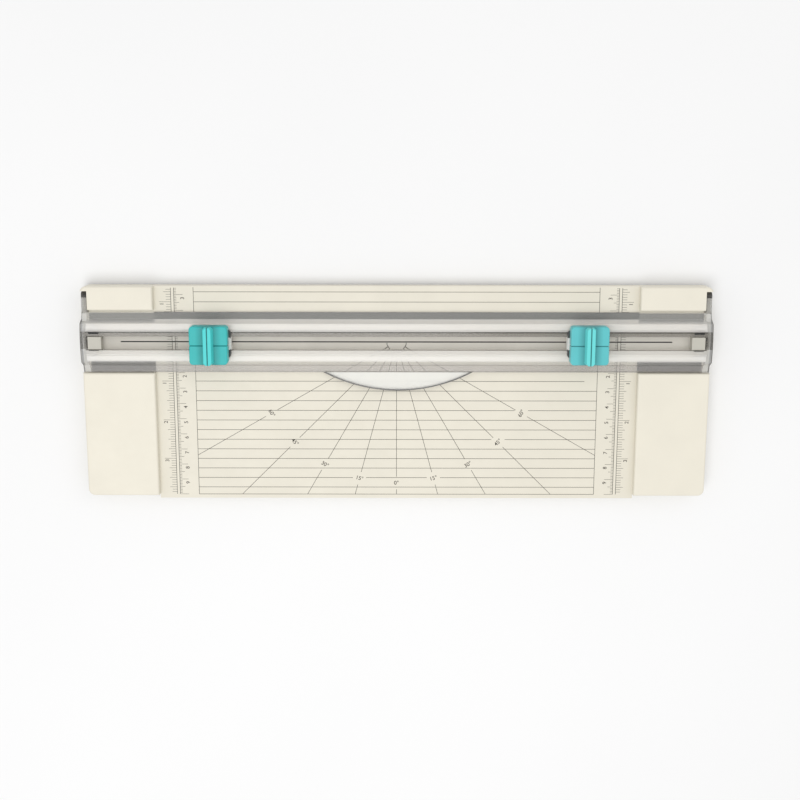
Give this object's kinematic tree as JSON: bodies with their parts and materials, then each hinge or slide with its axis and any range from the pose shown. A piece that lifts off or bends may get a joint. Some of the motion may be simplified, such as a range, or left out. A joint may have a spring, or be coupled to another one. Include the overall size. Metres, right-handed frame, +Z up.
{
  "type": "rotary paper trimmer",
  "caption": "Paper trimmer: cream ruled bed, cutting mat, hinged clear guide rail with a slot, and sliding press-down carriages that carry a cutting wheel and a scoring wheel.",
  "frame": {"origin": "under the middle of the base, on the surface that the feet stand on", "axes": "+X along the cut to the right, +Y to the hinge side at the back, +Z up"},
  "size_m": [0.3986, 0.138, 0.0325],
  "materials": {
    "base_plastic": "cream ABS, fine satin grain",
    "cover_plastic": "cream ABS, matt",
    "mat_plastic": "taupe self-healing strip, matt",
    "clear_plastic": "clear moulded acrylic",
    "steel": "plain steel",
    "rubber": "black rubber, matt",
    "grip_foam": "grey foam strip",
    "stop_plastic": "light grey plastic",
    "teal_plastic": "teal ABS, satin",
    "dark_plastic": "dark grey acetal",
    "white_acetal": "white acetal",
    "wheel_steel": "hardened, ground edge",
    "scorer_plastic": "hard white plastic, polished rim"
  },
  "bodies": {
    "base": {"base_shell": "base_plastic", "bottom_cover": "cover_plastic", "cover_screws": "steel", "rubber_feet": "rubber", "cutting_mat": "mat_plastic", "hinge_pin_left": "steel", "hinge_pin_right": "steel"},
    "rail": {"guide_rail": "clear_plastic", "rail_grip_strip": "grip_foam", "rail_rest_pads": "grip_foam", "rail_end_cap_left": "clear_plastic", "rail_end_cap_right": "clear_plastic", "rail_end_stop_left": "stop_plastic", "rail_end_stop_right": "stop_plastic"},
    "cutter_slider": {"cutter_glide_shoe": "white_acetal", "cutter_slider": "dark_plastic", "cutter_springs": "steel"},
    "cutter_head": {"cutter_wheel_holder": "white_acetal", "cutter_shell_front": "teal_plastic", "cutter_shell_back": "teal_plastic", "cutter_thumb_fin": "teal_plastic", "cutter_axle": "steel"},
    "cutter_wheel": {"cutter_hub": "dark_plastic", "cutter_wheel": "wheel_steel"},
    "scorer_slider": {"scorer_glide_shoe": "white_acetal", "scorer_slider": "dark_plastic", "scorer_springs": "steel"},
    "scorer_head": {"scorer_wheel_holder": "white_acetal", "scorer_shell_front": "teal_plastic", "scorer_shell_back": "teal_plastic", "scorer_thumb_fin": "teal_plastic", "scorer_axle": "steel"},
    "scorer_wheel": {"scorer_hub": "dark_plastic", "scorer_wheel": "scorer_plastic"}
  },
  "joints": [
    {"name": "rail_hinge", "type": "hinge", "parent": "base", "child": "rail", "pos_m": [0, 0.0631, 0.0122], "axis": [-1, 0, 0], "range_deg": [0, 95]},
    {"name": "cutter_slide", "type": "slide", "parent": "rail", "child": "cutter_slider", "axis": [1, 0, 0], "range_m": [-0.056, 0.2112]},
    {"name": "cutter_press", "type": "slide", "parent": "cutter_slider", "child": "cutter_head", "axis": [0, 0, -1], "range_m": [0, 0.0026], "stiffness_N_per_m": 400, "springref_m": -0.004, "deforming": ["cutter_springs"]},
    {"name": "cutter_spin", "type": "hinge", "parent": "cutter_head", "child": "cutter_wheel", "pos_m": [-0.117, 0.0335, 0.0187], "axis": [0, 1, 0], "continuous": true},
    {"name": "scorer_slide", "type": "slide", "parent": "rail", "child": "scorer_slider", "axis": [1, 0, 0], "range_m": [-0.2112, 0.0527]},
    {"name": "scorer_press", "type": "slide", "parent": "scorer_slider", "child": "scorer_head", "axis": [0, 0, -1], "range_m": [0, 0.0026], "stiffness_N_per_m": 400, "springref_m": -0.004, "deforming": ["scorer_springs"]},
    {"name": "scorer_spin", "type": "hinge", "parent": "scorer_head", "child": "scorer_wheel", "pos_m": [0.1203, 0.0335, 0.0187], "axis": [0, 1, 0], "continuous": true}
  ]
}
